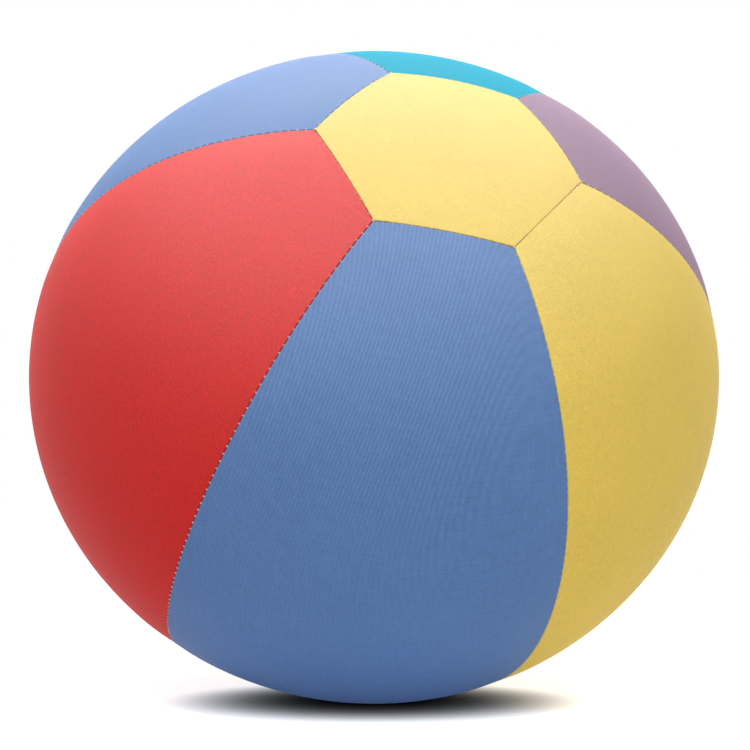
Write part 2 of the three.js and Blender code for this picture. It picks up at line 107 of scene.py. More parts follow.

# Weave: spacing of the crossing threads over the ribs' own, mean height of the ribs, how steep their sides
# are and where they start, and how deep the crossing threads cut in
# The ribs' height is painted into the cloth's tone: the weave's own pattern, with painted shade in the gaps
# between ribs.
WEFT_SHARE = 0.6
RIB_MEAN = 0.45
RIB_STEEPNESS = 2.0
RIB_START = 0.78
CROSSING = 0.3

# The ribs' tone contrast, and with it their painted shade, fades towards the floor: the heights between
# which it rises, how these slope from side to side, and what is left of it at the lower one
RIB_FADE_LOW = 0.0
RIB_FADE_HIGH = 150 * MM
RIB_FADE_SLANT = 0.45
FADED_RIB_SHARE = 0.1

# Uneven yarn: how fast its two streaks change across and along the threads
STREAKS = ((0.25, 0.03), (0.03, 0.25))
STREAK_DETAIL = 2

# Mottle: its socket, fineness per metre and detail, for slow changes of tone and for the grain of fibres
MOTTLE_LAYERS = (("Amount", 28, 4), ("Grain", 1800, 1))


def linear(code):
    """A web colour such as 0xf0d684 as the linear colour that Blender's sockets take."""
    shares = [((code >> shift) & 255) / 255 for shift in (16, 8, 0)]
    return tuple(x / 12.92 if x <= 0.04045 else ((x + 0.055) / 1.055) ** 2.4 for x in shares)


def metres(name, description, default):
    return FloatProperty(name=name, description=description, default=default, unit="LENGTH", precision=5)


def degrees(name, description, default):
    return FloatProperty(name=name, description=description, default=math.radians(default), subtype="ANGLE")


def number(name, description, default):
    return FloatProperty(name=name, description=description, default=default)


def web_colour(name, description, code):
    return FloatVectorProperty(
        name=name, description=description, default=linear(code), size=3, min=0, max=1, subtype="COLOR"
    )


class BallSizes(bpy.types.PropertyGroup):
    width: metres("Width", "Width of the blown-up ball", 300 * MM)
    height: metres("Height", "Height of the sagged ball", CAD_BOX[1].z - CAD_BOX[0].z)
    contact_radius: metres("Contact radius", "Radius of the flat patch on the floor", 17 * MM)
    cap_side: metres("Cap side", "Side of a hexagonal cap", 50.5 * MM)
    cap_tilt: degrees("Cap tilt", "Lean of the line through the caps, from upright", 60.4)
    cap_heading: degrees("Cap heading", "Heading of that line's upper end, from +X towards +Y", -76.9)
    turn: degrees("Turn", "Turn of the ball about the line through its caps", -41)


class SewingSizes(bpy.types.PropertyGroup):
    stitch: metres("Stitch", "Length of one stitch", 3.3 * MM)
    thread: metres("Thread", "Diameter of the thread", 0.46 * MM)
    hem: metres("Hem", "Cloth turned in along an edge", 7.5 * MM)
    fold_width: metres("Fold width", "Width of the rounded edge beside a seam", 0.38 * MM)
    fold_depth: metres("Fold depth", "Depth of the groove between two rounded edges", 0.5 * MM)
    opening: metres("Opening", "How far an edge draws back between two stitches", 0.09 * MM)
    pucker: metres("Pucker", "How far a stitch pulls the cloth in", 0.08 * MM)
    valley: metres("Valley", "How far a seam lies under the round of the ball", 0.3 * MM)
    bar: metres("Bar", "Length of thread that shows across a seam", 1.0 * MM)
    dash: metres("Dash", "Length of thread that shows along a hem", 2.6 * MM)


class ClosureSizes(bpy.types.PropertyGroup):
    inner_reach: metres("Inner reach", "Reach of the inner half under the outer half", 16 * MM)
    tongue_width: metres("Tongue width", "Width of the tongue over the mouth", 64 * MM)
    tongue_length: metres("Tongue length", "Length of the tongue, from the mouth", 24 * MM)
    root: metres("Root", "Length of the tongue's root under the outer half", 5 * MM)
    gap: metres("Gap", "Gap between the tongue and the outer half", 0.5 * MM)
    inner_depth: metres("Inner depth", "Depth of the inner half under the outer half", 1.6 * MM)
    tongue_inset: metres("Tongue inset", "From the tongue's edge to its stitches", 5 * MM)
    hem_inset: metres("Hem inset", "From the mouth's edges to their stitches", 6 * MM)


class BalloonSizes(bpy.types.PropertyGroup):
    depth: metres("Depth", "Depth of the balloon under the cloth's outside", 1.5 * MM)
    closure_depth: metres("Closure depth", "Depth of the balloon under the closure", 2.9 * MM)
    wall: metres("Wall", "Thickness of the balloon's wall", 0.25 * MM)
    neck_radius: metres("Neck radius", "Radius of the balloon's neck", 3.2 * MM)
    dimple_radius: metres("Dimple radius", "Radius of the hollow round the neck", 20 * MM)
    dimple_floor: metres("Dimple floor", "Radius of the hollow's floor", 8 * MM)
    dimple_depth: metres("Dimple depth", "Depth of the hollow's floor", 10.4 * MM)
    knot_radius: metres("Knot radius", "Radius of the knot", 3.9 * MM)
    lip_radius: metres("Lip radius", "Radius of the rolled lip", 4.8 * MM)
    lip: metres("Lip", "Thickness of the rolled lip", 1.2 * MM)


class ClothLay(bpy.types.PropertyGroup):
    """How the threads of one panel lie: spacing and slant at its middle, and how tension changes both."""

    spacing: metres("Spacing", "Spacing of the threads at the panel's middle", 0.21 * MM)
    grain: degrees("Grain", "Slant of the threads from the panel's length", 0)
    spread: number("Spread", "Change of the spacing across the panel, per metre", 0)
    fan: number("Fan", "Change of the spacing along the panel, per metre", 0)
    bow: number("Bow", "Curve of the threads along the panel, per metre", 0)
    flare: number("Flare", "Change of the spread along the panel, per square metre", 0)
    curl: number("Curl", "Change of the bow along the panel, per square metre", 0)


class Finish(bpy.types.PropertyGroup):
    blue: web_colour("Blue", "Colour of the blue cloth", 0x5679AD)
    yellow: web_colour("Yellow", "Colour of the yellow cloth", 0xE4C454)
    purple: web_colour("Purple", "Colour of the purple cloth", 0x9E8298)
    turquoise: web_colour("Turquoise", "Colour of the turquoise cloth", 0x25BDDD)
    red: web_colour("Red", "Colour of the red cloth", 0xC71812)
    thread: web_colour("Thread", "Colour of the thread", 0xD8D2C6)
    latex: web_colour("Latex", "Colour of the balloon", 0xE9E4DA)
    # Contrast of the weave's tone: its pattern, and painted shade in the gaps between ribs
    weave_and_gap_shade: number("Weave", "Contrast between ribs and the gaps between them", 1.95)
    slubs: number("Slubs", "Contrast of the uneven yarn", 0.2)
    mottle: number("Mottle", "Contrast of the cloth's slow changes of tone", 0.14)
    fuzz: number("Fuzz", "Contrast of the fine grain of the fibres", 1.0)
    roughness: number("Roughness", "Roughness of the cloth", 0.62)
    gloss: number("Gloss", "Specular level of the cloth and the thread", 0.16)


class StageSizes(bpy.types.PropertyGroup):
    distance: metres("Distance", "From the camera to the ball's middle", 594.6 * MM)
    elevation: degrees("Elevation", "How far the camera looks up at the ball's middle", 8.1)
    lens: number("Lens", "Focal length, in millimetres", 63.54)
    shift: FloatVectorProperty(
        name="Shift", description="Shift of the picture", default=(0.0014, 0.0048), size=2
    )
    lamp: number("Lamp", "Strength of the lamp", 1.87)
    lamp_lean: degrees("Lamp lean", "Lean of the lamp to the front from overhead", 50)
    lamp_spread: degrees("Lamp spread", "Angle that the lamp takes up", 70)
    shine: number("Shine", "Strength of the overhead light that gives the gloss", 23.0)
    shine_lean: degrees("Shine lean", "Lean of the overhead light to the front", 28)
    shine_spread: degrees("Shine spread", "Angle that the overhead light takes up", 120)
    sky: number("Sky", "Strength of the plain light from all round", 0.1)
    floor_size: metres("Floor size", "Half the width of the floor", 6)
    floor_tone: number("Floor tone", "How pale the floor is to light", 0.74)
    floor_glow: number("Floor glow", "White that the camera sees on the floor", 0.85)
    # The floor glows with this light, though it is no lamp: painted light on the ball from below
    floor_fill: number("Floor fill", "Soft light that the floor gives back", 0.37)
    shadow_reach: metres("Shadow reach", "How near the ball the floor darkens", 30 * MM)
    shadow_rim: number("Shadow rim", "Open share of the sky at the shadow's rim", 0.82)


class Facets(bpy.types.PropertyGroup):
    steps: IntProperty(name="Steps", description="Steps of a cloth's edge in one stitch", default=5, min=3)
    fold_steps: IntProperty(name="Fold steps", description="Steps round a folded edge", default=7, min=3)


def sizes():
    return bpy.context.scene.ball_sizes


def sewing():
    return bpy.context.scene.ball_sewing


def closure():
    return bpy.context.scene.ball_closure


def radius():
    return sizes().width / 2


def corner_polar():
    """The angle from the line through the caps to a corner of a hexagon."""
    return math.asin(sizes().cap_side / (2 * radius() * math.sin(SEAM_TURN / 2)))


def corner_reach():
    """From a hexagon's middle to its corners, on the plane that touches the cap's middle."""
    return radius() * math.tan(corner_polar())


def edge_reach():
    """From a hexagon's middle to its sides, on the same plane."""
    return corner_reach() * math.cos(SEAM_TURN / 2)


def edge_polar(share):
    """The angle to a hexagon's side, at a share from 0 to 1 of the way across a gore."""
    return np.arctan(edge_reach() / radius() / np.cos(SEAM_TURN * (share - 0.5)))


def seam_share(polar):
    """How far along a seam a polar angle lies, from 0 at the top cap to 1 at the bottom one."""
    return (polar - corner_polar()) / (math.pi - 2 * corner_polar())


def seam_azimuth(seam, polar):
    along = seam_share(polar)
    drift = GORES[seam % len(GORES)][2] / radius()
    return seam * SEAM_TURN + drift * 4 * along * (1 - along)


def seam_stitches():
    """How many stitches join two gores."""
    return round(radius() * (math.pi - 2 * corner_polar()) / sewing().stitch)


def side_stitches():
    """How many stitches lie along one side of a hexagon."""
    return round(sizes().cap_side / sewing().stitch)


def slack(count, share):
    """0 at each of a line's stitches, and 1 half way between two."""
    return 0.5 - 0.5 * np.cos(math.tau * count * np.clip(share, 0, 1))


def fold_profile():
    """A folded edge, from the hem's inner edge round the fold and out over the panel: inset from the seam,
    depth, and how much of the opening between two stitches each point takes."""
    sewn = sewing()
    angle = np.linspace(math.pi / 2, 0, bpy.context.scene.ball_facets.fold_steps)
    round_inset = sewn.fold_width * (1 - np.sin(angle))
    round_depth = sewn.fold_depth * (1 - np.cos(angle))
    under = sewn.fold_depth + sewn.thread / 4
    inset = np.concatenate(((sewn.hem, sewn.fold_width), round_inset, APRON))
    depth = np.concatenate(((under, under), round_depth, np.zeros(len(APRON))))
    opens = np.concatenate(((0, 0), 1 - round_depth / sewn.fold_depth, APRON_OPENS))
    return inset, depth, opens


def grid_steps(stitches):
    """Steps of a grid along a row of stitches that runs between two folded edges."""
    return stitches * bpy.context.scene.ball_facets.steps + 2 * (len(fold_profile()[0]) - 1)


def folded(line, last, length):
    """Where the lines of a grid lie along a length with two folded ends: distance, depth and opening."""
    inset, depth, opens = fold_profile()
    edge = len(inset) - 1
    near = np.minimum(line, edge)
    far = np.minimum(last - line, edge)
    even = inset[edge] + (length - 2 * inset[edge]) * (line - edge) / (last - 2 * edge)
    distance = np.where(line < edge, inset[near], np.where(last - line < edge, length - inset[far], even))
    return distance, np.maximum(depth[near], depth[far]), opens[near] - opens[far]


def relief(distance, wave):
    """How far the cloth lies under the round of the ball, at a distance from a seam."""
    sewn = sewing()
    valley = sewn.valley * np.exp(-((distance / sewn.hem) ** 2))
    return valley + sewn.pucker * (1 - wave) * np.exp(-distance / sewn.fold_width / 2)


def outward_points(polar, azimuth, depth):
    directions = (np.sin(polar) * np.cos(azimuth), np.sin(polar) * np.sin(azimuth), np.cos(polar))
    return np.stack(directions, axis=1) * (radius() - depth)[:, None]


def plane_points(x, y, depth, end):
    """Points over the flat plane that touches a cap's middle, taken down to the ball towards its middle."""
    points = np.stack((x, y, np.full(len(x), end * radius())), axis=1)
    return points / np.linalg.norm(points, axis=1, keepdims=True) * (radius() - depth)[:, None]


def lying():
    """The turn from the upright ball to the lying one."""
    ball = sizes()
    lean = Matrix.Rotation(ball.cap_heading, 3, "Z") @ Matrix.Rotation(ball.cap_tilt, 3, "Y")
    return lean @ Matrix.Rotation(ball.turn, 3, "Z")


def flat_share():
    """How high the ball's middle stands over the floor, as a share of the height above it."""
    return math.sqrt(1 - (sizes().contact_radius / radius()) ** 2)


def laid(points):
    """Where points of the upright ball go on the lying ball."""
    half_height = sizes().height / (1 + flat_share())
    semi_axes = np.array((radius(), radius(), half_height))
    lengths = np.linalg.norm(points, axis=1, keepdims=True)
    directions = (points / lengths) @ np.array(lying()).T
    normals = directions / semi_axes
    normals /= np.linalg.norm(normals, axis=1, keepdims=True)
    depth = radius() - lengths
    out = directions * semi_axes + (0, 0, half_height * flat_share()) - normals * depth
    out[:, 2] = np.maximum(out[:, 2], depth[:, 0])
    return out


def laid_point(x, y):
    """The lying place of one point over the bottom cap's plane."""
    return Vector(laid(plane_points(np.array([x]), np.array([y]), np.zeros(1), BOTTOM))[0])


def read_points(mesh):
    points = np.zeros(len(mesh.vertices) * 3)
    mesh.vertices.foreach_get("co", points)
    return points.reshape(-1, 3)


def write_points(mesh, points):
    mesh.vertices.foreach_set("co", points.astype(np.float32).ravel())
    mesh.update()


def write_threads(mesh, across, along, lay):
    """A UV map that counts threads, from where each point lies on its flat panel."""
    tension = (lay.spread + lay.flare * along) * across**2 + lay.fan * across * along
    tension = tension + (lay.bow + lay.curl * along) * along**2
    warp = across * math.cos(lay.grain) + along * math.sin(lay.grain) + tension
    weft = along * math.cos(lay.grain) - across * math.sin(lay.grain)
    uvs = np.stack((warp, weft / WEFT_SHARE), axis=1) / lay.spacing
    corners = np.zeros(len(mesh.loops), np.int32)
    mesh.loops.foreach_get("vertex_index", corners)
    layer = mesh.uv_layers.new(name="cloth")
    layer.data.foreach_set("uv", uvs[corners].astype(np.float32).ravel())


def lay_of(name):
    """The lay of the threads in one panel. Two panels have one of their own."""
    own = {"gore_blue_front": "ball_lay_front", "gore_red": "ball_lay_red"}
    return getattr(bpy.context.scene, own.get(name, "ball_lay"))


def mesh_from(bm, name):
    mesh = bpy.data.meshes.new(name)
    bm.to_mesh(mesh)
    bm.free()
    return mesh


def grid_mesh(name, columns, rows):
    """A flat grid, with each point's column and row. Rows run down, so that the grid faces +Z."""
    bm = bmesh.new()
    bmesh.ops.create_grid(bm, x_segments=columns, y_segments=rows, size=0.5)
    mesh = mesh_from(bm, name)
    points = read_points(mesh)
    column = np.rint((points[:, 0] + 0.5) * columns).astype(int)
    row = np.rint((0.5 - points[:, 1]) * rows).astype(int)
    return mesh, column, row


def turn_points(bm, verts, angle, axis):
    bmesh.ops.rotate(bm, cent=(0, 0, 0), matrix=Matrix.Rotation(angle, 3, axis), verts=verts)


def spin_round(bm, line, steps):
    """Turns a line, its points and edges, all the way about the Z axis."""
    bmesh.ops.spin(
        bm, geom=line, cent=(0, 0, 0), axis=(0, 0, 1), angle=math.tau, steps=steps, use_merge=True
    )


def add_piece(mesh, slot, node, body="ball"):
    """The finished object of a mesh on the upright ball: laid, smooth, and standing for its CAD node."""
    write_points(mesh, laid(read_points(mesh)))
    mesh.shade_smooth()
    mesh.materials.append(bpy.data.materials[f"ball_{slot}"])
    piece = bpy.data.objects.new(mesh.name, mesh)
    bpy.context.scene.collection.objects.link(piece)
    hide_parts(node)
    if body:
        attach(piece, body)
    return piece


def add_gore(gore):
    node, cloth, _ = GORES[gore]
    columns = grid_steps(side_stitches())
    rows = grid_steps(seam_stitches())
    mesh, column, row = grid_mesh(f"{node}_cloth", columns, rows)
    share = np.full(len(column), 0.5)
    for _ in range(SETTLING_ROUNDS):
        start = edge_polar(share)
        length = radius() * (math.pi - 2 * start)
        down, down_depth, down_opens = folded(row, rows, length)
        polar = start + down / radius()
        left = seam_azimuth(gore, polar)
        turn = seam_azimuth(gore + 1, polar) - left
        reach = radius() * np.sin(polar)
        across, across_depth, across_opens = folded(column, columns, reach * turn)
        share = across / (reach * turn)
    seam_wave = slack(seam_stitches(), seam_share(polar))
    side_share = 0.5 + np.tan(SEAM_TURN * (share - 0.5)) / np.tan(SEAM_TURN / 2) / 2
    side_wave = slack(side_stitches(), side_share)
    depth = np.maximum(down_depth, across_depth)
    for distance in (across, reach * turn - across):
        depth = depth + relief(distance, seam_wave)
    for distance in (down, length - down):
        depth = depth + relief(distance, side_wave)
    across = across + across_opens * seam_wave * sewing().opening
    polar = polar + down_opens * side_wave * sewing().opening / radius()
    azimuth = left + across / reach
    write_points(mesh, outward_points(polar, azimuth, depth))
    middle = (gore + 0.5) * SEAM_TURN
    write_threads(mesh, reach * (azimuth - middle), radius() * (polar - math.pi / 2), lay_of(node))
    piece = add_piece(mesh, cloth, node)


class AddBalloon(bpy.types.Operator):
    """Adds the latex balloon inside the cover, dimpled at its neck, and its knot"""

    bl_idname = "balloon_ball.add_balloon"
    bl_label = "Add balloon"

    def execute(self, context):
        add_balloon()
        add_knot()
        return {"FINISHED"}


def neck_profile(inside):
    """Reach and depth of the balloon's wall from under the closure down the dimple and out at its neck."""
    shoulder = edge_reach() * 0.8
    dimple_rings = 9
    neck_rings = ((1.3, 0), (1, 0.3), (1, 0.9))
    profile = [(shoulder, inside.closure_depth), (inside.dimple_radius, inside.closure_depth)]
    for share in np.linspace(0, 1, dimple_rings)[1:]:
        fall = 0.5 - 0.5 * math.cos(math.pi * share)
        reach = inside.dimple_radius + (inside.dimple_floor - inside.dimple_radius) * share
        depth = inside.closure_depth + (inside.dimple_depth - inside.closure_depth) * fall
        profile.append((reach, depth))
    for width, rise in neck_rings:
        profile.append((inside.neck_radius * width, inside.dimple_depth - inside.neck_radius * rise))
    return profile


def add_balloon():
    inside = bpy.context.scene.ball_balloon
    rings = 60
    segments = 96
    profile = []
    for angle in np.linspace(0, math.pi - corner_polar(), rings):
        profile.append((radius() - inside.depth) * Vector((math.sin(angle), 0, math.cos(angle))))
    for reach, depth in neck_profile(inside):
        point = Vector((reach, 0, BOTTOM * radius())).normalized()
        profile.append(point * (radius() - depth))
    bm = bmesh.new()
    line = [bm.verts.new(point) for point in profile]
    edges = [bm.edges.new(pair) for pair in zip(line, line[1:])]
    spin_round(bm, line + edges, segments)
    bmesh.ops.remove_doubles(bm, verts=bm.verts, dist=inside.wall / 10)
    bmesh.ops.recalc_face_normals(bm, faces=bm.faces)
    piece = add_piece(mesh_from(bm, "balloon_latex"), "latex", "balloon")
    wall = piece.modifiers.new("wall", "SOLIDIFY")
    wall.thickness = inside.wall
    wall.offset = -1


def add_knot():
    """A bead of twisted neck under the rolled lip, tucked under the closure."""
    inside = bpy.context.scene.ball_balloon
    flatness = 0.5
    twist_turns = 0.6
    twist_folds = 5
    twist_depth = 0.06
    segments = 40
    height = inside.knot_radius
    lip_height = -height * 0.35
    lip_middle = inside.lip_radius - inside.lip / 2
    bm = bmesh.new()
    bead = bmesh.ops.create_uvsphere(bm, u_segments=32, v_segments=16, radius=inside.knot_radius)["verts"]
    bmesh.ops.scale(bm, vec=(1, 1, flatness), verts=bead)
    for vert in bead:
        angle = math.atan2(vert.co.y, vert.co.x) + math.tau * twist_turns * vert.co.z / height
        vert.co.xy *= 1 + twist_depth * math.cos(twist_folds * angle)
    bmesh.ops.translate(bm, vec=(0, 0, -height), verts=bead)
    ring = bmesh.ops.create_circle(bm, segments=12, radius=inside.lip / 2)["verts"]
    turn_points(bm, ring, math.pi / 2, "X")
    bmesh.ops.translate(bm, vec=(lip_middle, 0, lip_height), verts=ring)
    edges = list({edge for vert in ring for edge in vert.link_edges})
    spin_round(bm, ring + edges, segments)
    web = bmesh.ops.create_circle(bm, cap_ends=True, segments=segments, radius=lip_middle)["verts"]
    bmesh.ops.translate(bm, vec=(0, 0, lip_height), verts=web)
    bmesh.ops.recalc_face_normals(bm, faces=bm.faces)
    upside_down = Matrix.Rotation(math.pi, 4, "X")
    place = Matrix.Translation((0, 0, BOTTOM * (radius() - closure().inner_depth - inside.lip)))
    bmesh.ops.transform(bm, matrix=place @ upside_down, verts=bm.verts)
    add_piece(mesh_from(bm, "balloon_knot_latex"), "latex", "balloon_knot")


class AddGores(bpy.types.Operator):
    """Adds the six gores of cloth, each with its turned-in hems and stitched edges"""

    bl_idname = "balloon_ball.add_gores"
    bl_label = "Add gores"

    def execute(self, context):
        for gore in range(len(GORES)):
            add_gore(gore)
        return {"FINISHED"}


def hexagon_edge(x, y):
    """For points on a hexagon's plane: distance in from the nearest side, share along it, its direction."""
    side = np.floor(np.arctan2(y, x) / SEAM_TURN)
    facing = (side + 0.5) * SEAM_TURN
    out = x * np.cos(facing) + y * np.sin(facing)
    along = y * np.cos(facing) - x * np.sin(facing)
    return edge_reach() - out, 0.5 + along / corner_reach(), facing


def hexagon_mesh(name):
    """A flat hexagon with a fine grid in it and its folded edge turned in below it."""
    inset, fold_depth, _ = fold_profile()
    reach = edge_reach()
    bm = bmesh.new()
    hexagon = bmesh.ops.create_circle(
        bm, cap_ends=True, cap_tris=True, segments=6, radius=corner_reach() * (1 - inset[-1] / reach)
    )["verts"]
    corner = max(hexagon, key=lambda vert: vert.co.length)
    turn_points(bm, hexagon, -math.atan2(corner.co.y, corner.co.x), "Z")
    cuts = side_stitches() * bpy.context.scene.ball_facets.steps - 1
    bmesh.ops.subdivide_edges(bm, edges=bm.edges, cuts=cuts, use_grid_fill=True)
    rim = [edge for edge in bm.edges if edge.is_boundary]
    before = inset[-1]
    for ring in range(len(inset) - 2, -1, -1):
        made = bmesh.ops.extrude_edge_only(bm, edges=rim)["geom"]
        rim = [item for item in made if isinstance(item, bmesh.types.BMEdge)]
        verts = [item for item in made if isinstance(item, bmesh.types.BMVert)]
        scale = (reach - inset[ring]) / (reach - before)
        for vert in verts:
            vert.co = (vert.co.x * scale, vert.co.y * scale, -fold_depth[ring])
        before = inset[ring]
    bmesh.ops.recalc_face_normals(bm, faces=bm.faces)
    return mesh_from(bm, name)


class AddTopCap(bpy.types.Operator):
    """Adds the hexagonal cap that shows, with its turned-in hem"""

    bl_idname = "balloon_ball.add_top_cap"
    bl_label = "Add top cap"

    def execute(self, context):
        sewn = sewing()
        inset, _, opens = fold_profile()
        mesh = hexagon_mesh("top_cap_cloth")
        x, y, down = read_points(mesh).T
        from_edge, share, facing = hexagon_edge(x, y)
        wave = slack(side_stitches(), share)
        on_top = np.interp(from_edge, inset[2:], opens[2:]) * (-down < sewn.fold_depth)
        drawn = on_top * wave * sewn.opening * (1 + down / sewn.fold_depth)
        x = x - drawn * np.cos(facing)
        y = y - drawn * np.sin(facing)
        write_points(mesh, plane_points(x, y, relief(from_edge, wave) - down, TOP))
        write_threads(mesh, x, y, lay_of(mesh.name))
        piece = add_piece(mesh, "cloth_yellow", "top_cap")
        return {"FINISHED"}


def half_width(from_mouth):
    """Half the width of the hexagon at a distance from the mouth, which joins two of its corners."""
    return corner_reach() - np.abs(from_mouth) * math.tan(SEAM_TURN / 2)


def smooth_step(value, low, high):
    share = np.clip((value - low) / (high - low), 0, 1)
    return share * share * (3 - 2 * share)


class AddClosure(bpy.types.Operator):
    """Adds the bottom cap's two halves, and the tongue that covers the mouth between them"""

    bl_idname = "balloon_ball.add_closure"
    bl_label = "Add closure"

    def execute(self, context):
        shape = closure()
        longer = 1.5
        add_half(
            "outer",
            stitches=side_stitches(),
            start=-shape.gap,
            length=edge_reach() - shape.gap,
            sunk=0,
        )
        add_half(
            "inner",
            stitches=round(longer * side_stitches()),
            start=edge_reach(),
            length=edge_reach() + shape.inner_reach,
            sunk=shape.inner_depth,
        )
        add_tongue()
        return {"FINISHED"}


def add_half(side, stitches, start, length, sunk):
    """Half of the bottom cap, from a line along the mouth's direction down over a length. Its part near the
    mouth may lie sunk and reach past the mouth. Its two other ends are sewn to the gores."""
    rows = grid_steps(stitches)
    columns = grid_steps(2 * side_stitches())
    mesh, column, row = grid_mesh(f"bottom_cap_{side}_half_cloth", columns, rows)
    down, row_depth, _ = folded(row, rows, length)
    y = start - down
    slant = math.cos(SEAM_TURN / 2)
    across, across_depth, opens = folded(column, columns, 2 * half_width(y) * slant)
    from_edge, share, _ = hexagon_edge(across / slant - half_width(y), y)
    wave = slack(side_stitches(), share)
    x = (across + opens * wave * sewing().opening) / slant - half_width(y)
    depth = np.maximum(row_depth, across_depth) + relief(np.abs(from_edge), wave)
    tip = 3 * closure().gap + closure().tongue_length
    depth = depth + sunk * (1 - smooth_step(y, tip, edge_reach() - sewing().hem))
    write_threads(mesh, x, y, lay_of(mesh.name))
    write_points(mesh, plane_points(x, y, depth, BOTTOM))
    mesh.flip_normals()
    piece = add_piece(mesh, "cloth_yellow", f"bottom_cap_{side}_half")


def bend_end():
    """How far from the mouth's line the bend of the tongue's root ends."""
    return 4 * closure().gap


def add_tongue():
    """The tongue bends along its root, whose end is sewn under the outer half's edge."""
    shape = closure()
    sewn = sewing()
    fold_share = 0.8
    tip = shape.gap + shape.tongue_length
    length = tip + shape.root
    columns = grid_steps(round(shape.tongue_width / sewn.stitch))
    rows = grid_steps(round(length / sewn.stitch))
    mesh, column, row = grid_mesh("closure_tongue_cloth", columns, rows)
    across, across_depth, _ = folded(column, columns, shape.tongue_width)
    down, down_depth, _ = folded(row, rows, length)
    x = across - shape.tongue_width / 2
    y = tip - down
    sunk = (sewn.fold_depth + shape.inner_depth) / 2
    under = sunk * (1 - smooth_step(y, -shape.gap, bend_end()))
    near_root = 1 - smooth_step(y, -shape.gap, shape.root)
    fold_depth = np.maximum(across_depth, down_depth) * fold_share * (1 - near_root)
    write_threads(mesh, x, y, lay_of(mesh.name))
    write_points(mesh, plane_points(x, y, fold_depth + under, BOTTOM))
    mesh.flip_normals()
    piece = add_piece(mesh, "cloth_yellow", "closure_tongue", body=None)
    laid_point(0, -shape.gap)
    laid_point(0, bend_end())
    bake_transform(piece)


def stitch_template(across):
    """One stitch that shows: an arch of thread over a seam or along a hem, with its ends sunk in."""
    sewn = sewing()
    bar_slimness = 3
    dash_rise = 0.6
    chord = sewn.bar if across else sewn.dash
    rise = sewn.bar / bar_slimness if across else sewn.thread * dash_rise
    bend = (chord * chord / 4 + rise * rise) / (2 * rise)
    half = math.asin(chord / 2 / bend)
    bm = bmesh.new()
    ring = bmesh.ops.create_circle(bm, segments=6, radius=sewn.thread / 2)["verts"]
    turn_points(bm, ring, math.pi / 2 - half, "Y")
    bmesh.ops.translate(bm, vec=(-chord / 2, 0, -rise), verts=ring)
    line = ring + list(bm.edges)
    bmesh.ops.spin(bm, geom=line, cent=(0, 0, -bend), axis=(0, 1, 0), angle=2 * half, steps=4)
    bmesh.ops.holes_fill(bm, edges=[edge for edge in bm.edges if edge.is_boundary])
    bmesh.ops.recalc_face_normals(bm, faces=bm.faces)
    if not across:
        turn_points(bm, bm.verts, math.pi / 2, "Z")
    return bm


def stitch_places(line, shares, depth):
    """Where stitches go along a line of directions: X across the line, Y along it, Z out of the ball."""
    nudge = 1e-4
    places = []
    for share in shares:
        here = line(share).normalized()
        along = (line(share + nudge) - line(share - nudge)).normalized()
        across = along.cross(here).normalized()
        turn = Matrix((across, here.cross(across), here)).transposed().to_4x4()
        places.append(Matrix.Translation(here * (radius() - depth)) @ turn)
    return places


def add_stitches(node, places, across, body="ball"):
    """Separate stitches that stand for a line of thread, as one piece."""
    mesh = mesh_from(stitch_template(across), node.replace("thread", "stitches"))
    bm = bmesh.new()
    for place in places:
        known = len(bm.verts)
        bm.from_mesh(mesh)
        bm.verts.ensure_lookup_table()
        bmesh.ops.transform(bm, matrix=place, verts=bm.verts[known:])
    bm.to_mesh(mesh)
    bm.free()
    add_piece(mesh, "thread", node, body)


def seam_line(seam):
    first = corner_polar()
    last = math.pi - first

    def line(share):
        polar = first + (last - first) * share
        azimuth = seam_azimuth(seam, polar)
        reach = math.sin(polar)
        return Vector((reach * math.cos(azimuth), reach * math.sin(azimuth), math.cos(polar)))

    return line


def straight_line(start, end, height):
    """Directions along a straight line on the plane that touches a cap's middle."""
    first = Vector((*start, height))
    last = Vector((*end, height))
    return lambda share: first.lerp(last, share).normalized()


def hexagon_corner(corner):
    return corner_reach() * math.cos(corner * SEAM_TURN), corner_reach() * math.sin(corner * SEAM_TURN)


class AddSeamStitches(bpy.types.Operator):
    """Adds the stitches that show across the seams between the gores and round both caps"""

    bl_idname = "balloon_ball.add_seam_stitches"
    bl_label = "Add seam stitches"

    def execute(self, context):
        depth = sewing().valley + sewing().thread / 4
        count = seam_stitches()
        shares = [k / count for k in range(count + 1)]
        for seam in range(len(GORES)):
            add_stitches(f"gore_seam_thread_{seam + 1}", stitch_places(seam_line(seam), shares, depth), True)
        count = side_stitches()
        shares = [k / count for k in range(count + 1)]
        for end, node in ((TOP, "top_cap_seam_thread"), (BOTTOM, "bottom_cap_seam_thread")):
            places = []
            for side in range(len(GORES)):
                line = straight_line(hexagon_corner(side), hexagon_corner(side + 1), end * radius())
                places += stitch_places(line, shares, depth)
            add_stitches(node, places, True)
        return {"FINISHED"}


def hem_places(start, end, depth):
    """Where the stitches of one straight run of a hem go."""
    length = math.dist(start, end)
    count = round(length / sewing().stitch)
    line = straight_line(start, end, BOTTOM * radius())
    return stitch_places(line, [(k + 0.5) / count for k in range(count)], depth)


class AddHemStitches(bpy.types.Operator):
    """Adds the stitches along the hems of the bottom cap's two halves and of the tongue"""

    bl_idname = "balloon_ball.add_hem_stitches"
    bl_label = "Add hem stitches"

    def execute(self, context):
        shape = closure()
        raised_share = 0.3
        raised = -sewing().thread * raised_share
        for node, y, depth in (
            ("outer_half_hem_thread", -shape.hem_inset, raised),
            ("inner_half_hem_thread", shape.hem_inset - shape.inner_reach, shape.inner_depth + raised),
        ):
            reach = float(half_width(y)) - sewing().hem
            add_stitches(node, hem_places((-reach, y), (reach, y), depth), False)
        reach = shape.tongue_width / 2 - shape.tongue_inset
        near = bend_end()
        tip = shape.gap + shape.tongue_length - shape.tongue_inset
        route = [(-reach, near), (-reach, tip), (reach, tip), (reach, near)]
        places = []
        for start, end in zip(route, route[1:]):
            places += hem_places(start, end, raised)
        add_stitches("tongue_hem_thread", places, False, "tongue")
        return {"FINISHED"}


